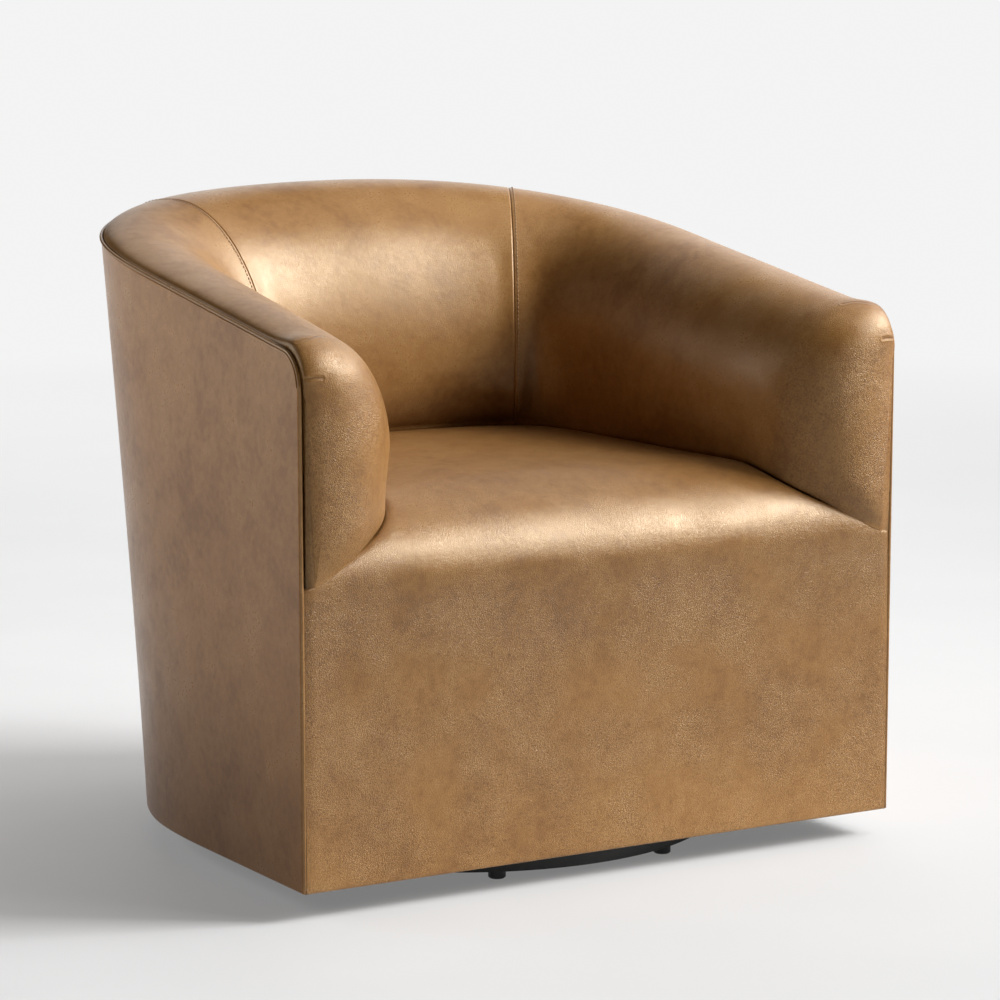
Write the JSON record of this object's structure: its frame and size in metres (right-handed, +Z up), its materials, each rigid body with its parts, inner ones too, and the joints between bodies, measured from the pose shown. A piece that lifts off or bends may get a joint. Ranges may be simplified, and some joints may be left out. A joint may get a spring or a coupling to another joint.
{
  "type": "swivel accent chair",
  "caption": "Upholstered tub armchair with wraparound arms and back, a rolled front and a full skirt, turning freely on a hidden round plinth with glides.",
  "frame": {"origin": "on the floor under the middle of the chair's box", "axes": "+Z up, the sitter faces -Y, +X to the right seen from the front"},
  "size_m": [0.778, 0.7, 0.7423],
  "materials": {
    "leather": "semi-aniline tan leather, pebbled grain, satin",
    "black_wood": "plywood painted matt black",
    "black_plastic": "moulded nylon",
    "steel": "zinc-plated pressed steel",
    "bright_steel": "polished bearing steel",
    "black_steel": "black oxide",
    "brass": "stamped sheet",
    "spring_steel": "drawn wire",
    "frame_wood": "unfinished birch plywood",
    "card": "upholstery board",
    "paper_wire": "paper-covered wire",
    "deck_felt": "needled felt",
    "foam": "polyurethane foam",
    "black_cloth": "spun-bonded dust cloth"
  },
  "bodies": {
    "base": {"plinth": "black_wood", "glides": "black_plastic", "glide_screws": "steel", "lower_plate": "steel", "lower_bolts": "black_steel", "lower_nuts": "steel", "centre_stud": "steel", "stud_washer": "steel", "stud_nut": "steel"},
    "bearing": {"ball_cage": "brass", "bearing_balls": "bright_steel"},
    "chair": {"upper_plate": "steel", "upper_bolts": "black_steel", "upper_nuts": "steel", "left_mount_board": "frame_wood", "right_mount_board": "frame_wood", "left_side_frame": "frame_wood", "right_side_frame": "frame_wood", "bottom_front_rail": "frame_wood", "bottom_back_rail": "frame_wood", "seat_front_rail": "frame_wood", "seat_back_rail": "frame_wood", "back_top_rail": "frame_wood", "front_struts": "frame_wood", "left_corner_post": "frame_wood", "right_corner_post": "frame_wood", "left_rear_post": "frame_wood", "right_rear_post": "frame_wood", "corner_blocks": "frame_wood", "front_board": "card", "seat_spring_1": "spring_steel", "seat_spring_2": "spring_steel", "seat_spring_3": "spring_steel", "seat_spring_4": "spring_steel", "seat_spring_5": "spring_steel", "spring_clips": "black_steel", "spring_ties": "paper_wire", "seat_deck": "deck_felt", "seat_foam": "foam", "seat_cover": "leather", "left_arm_pad": "leather", "right_arm_pad": "leather", "back_pad": "leather", "left_side_panel": "leather", "right_side_panel": "leather", "back_panel": "leather", "welt": "leather", "dust_cover": "black_cloth"}
  },
  "joints": [
    {"name": "swivel", "type": "hinge", "parent": "base", "child": "chair", "pos_m": [0, -0.022, 0.035], "axis": [0, 0, 1], "continuous": true},
    {"name": "cage_spin", "type": "hinge", "parent": "base", "child": "bearing", "pos_m": [0, -0.022, 0.035], "axis": [0, 0, 1], "continuous": true}
  ],
  "couplings": [
    {"joint": "cage_spin", "follows": "swivel", "ratio": 0.5}
  ]
}
